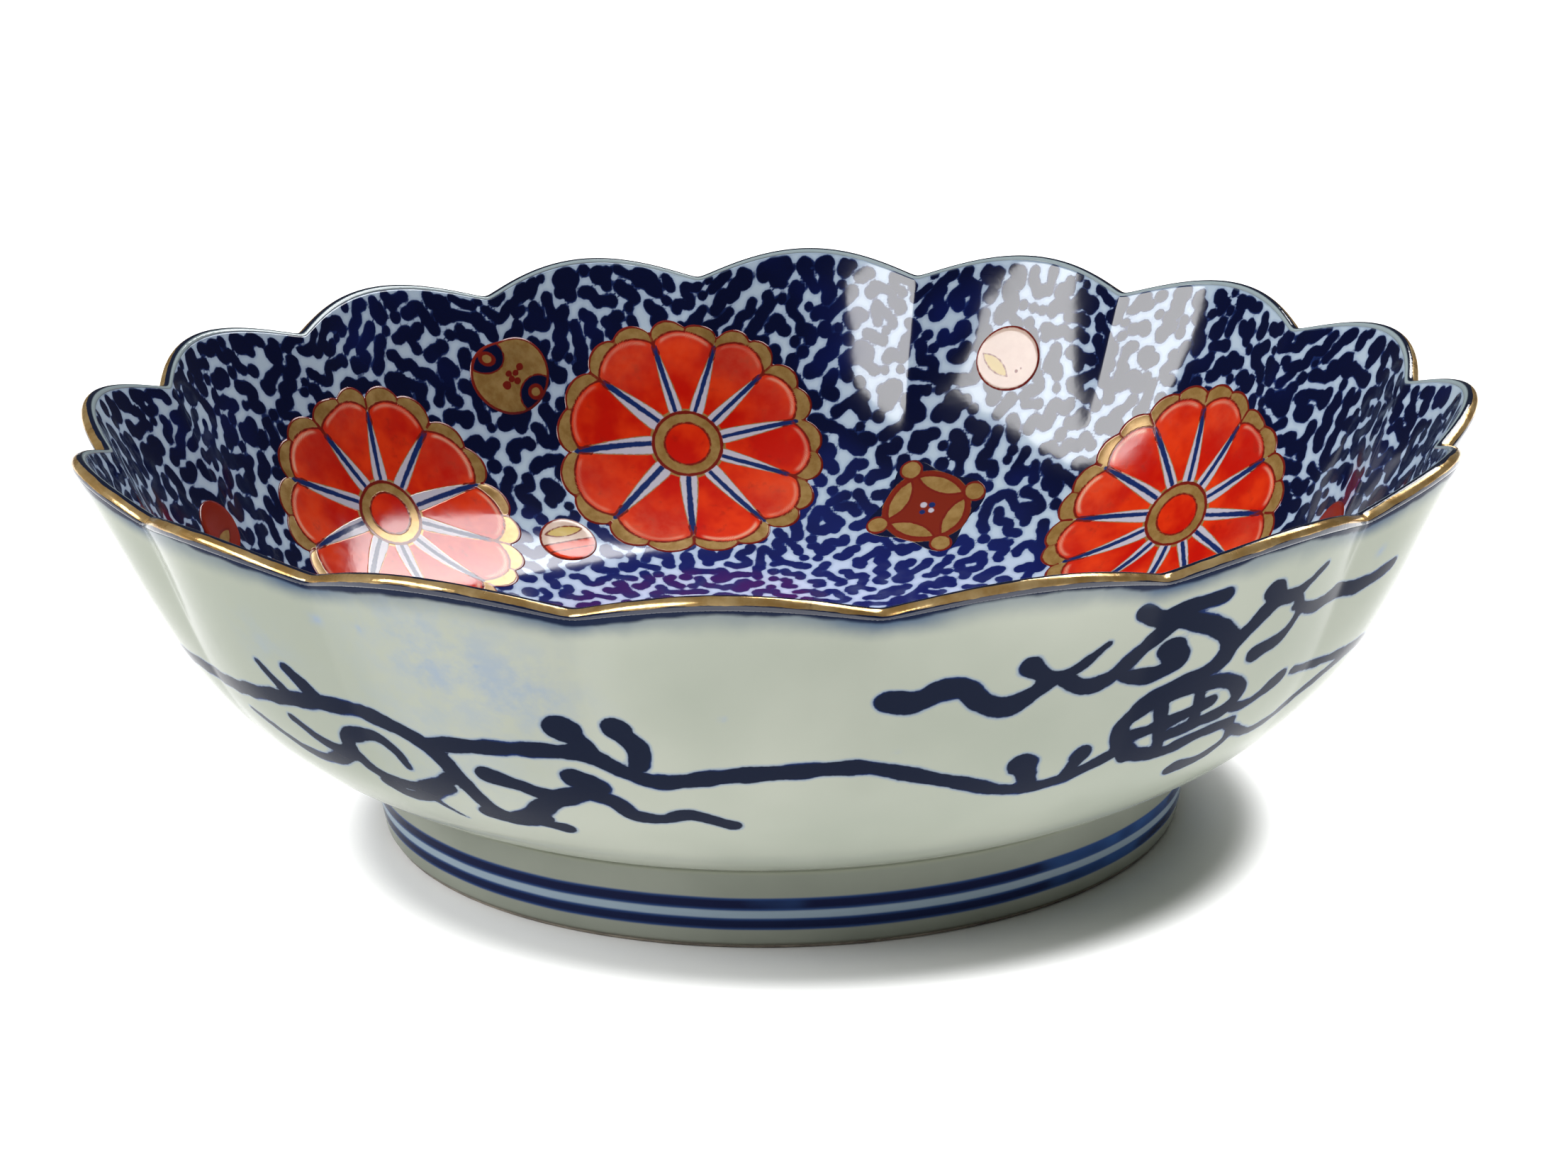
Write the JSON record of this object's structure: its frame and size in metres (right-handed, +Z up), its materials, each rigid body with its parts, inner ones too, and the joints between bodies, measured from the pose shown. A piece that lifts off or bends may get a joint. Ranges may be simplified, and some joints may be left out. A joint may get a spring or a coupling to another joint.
{
  "type": "lobed serving bowl",
  "caption": "Round porcelain serving bowl with a scalloped lip, fluted flaring wall and a foot ring, for holding and serving food.",
  "frame": {"origin": "centre of the resting edge of the foot ring, on the table", "axes": "+Z up along the bowl's axis; +X through the middle of a lobe"},
  "size_m": [0.2498, 0.2498, 0.0774],
  "materials": {
    "porcelain": "dense white porcelain, seen only under the coats",
    "bare_porcelain": "unglazed, slightly toasted porcelain at the resting edge",
    "glaze_outside": "glossy pale grey-green glaze over cobalt scrolls and foot bands",
    "glaze_inside": "glossy pale blue glaze over a dense dark cobalt scroll ground",
    "gilt": "brown-gold gilding, satin, worn on the crests",
    "enamel_red": "iron-red overglaze enamel with gold borders",
    "enamel_gilt": "gold overglaze enamel with dark red outlines",
    "enamel_pale": "pale pink overglaze enamel with a gold leaf"
  },
  "bodies": {
    "root": {"porcelain_body": "porcelain", "foot_ring": "bare_porcelain", "outside_glaze": "glaze_outside", "inside_glaze": "glaze_inside", "foot_glaze": "glaze_outside", "base_glaze": "glaze_outside", "lip_gilding": "gilt", "flower_enamel_1": "enamel_red", "flower_enamel_2": "enamel_red", "flower_enamel_3": "enamel_red", "flower_enamel_4": "enamel_red", "flower_enamel_5": "enamel_red", "flower_enamel_6": "enamel_red", "flower_enamel_7": "enamel_red", "leaf_disc_enamel_1": "enamel_gilt", "leaf_disc_enamel_2": "enamel_gilt", "leaf_disc_enamel_3": "enamel_gilt", "pale_disc_enamel_1": "enamel_pale", "pale_disc_enamel_2": "enamel_pale", "diamond_enamel_1": "enamel_gilt", "diamond_enamel_2": "enamel_gilt", "two_tone_enamel_1": "enamel_red", "two_tone_enamel_2": "enamel_red", "two_tone_enamel_3": "enamel_red", "side_disc_enamel_1": "enamel_red", "side_disc_enamel_2": "enamel_red"}
  },
  "joints": []
}
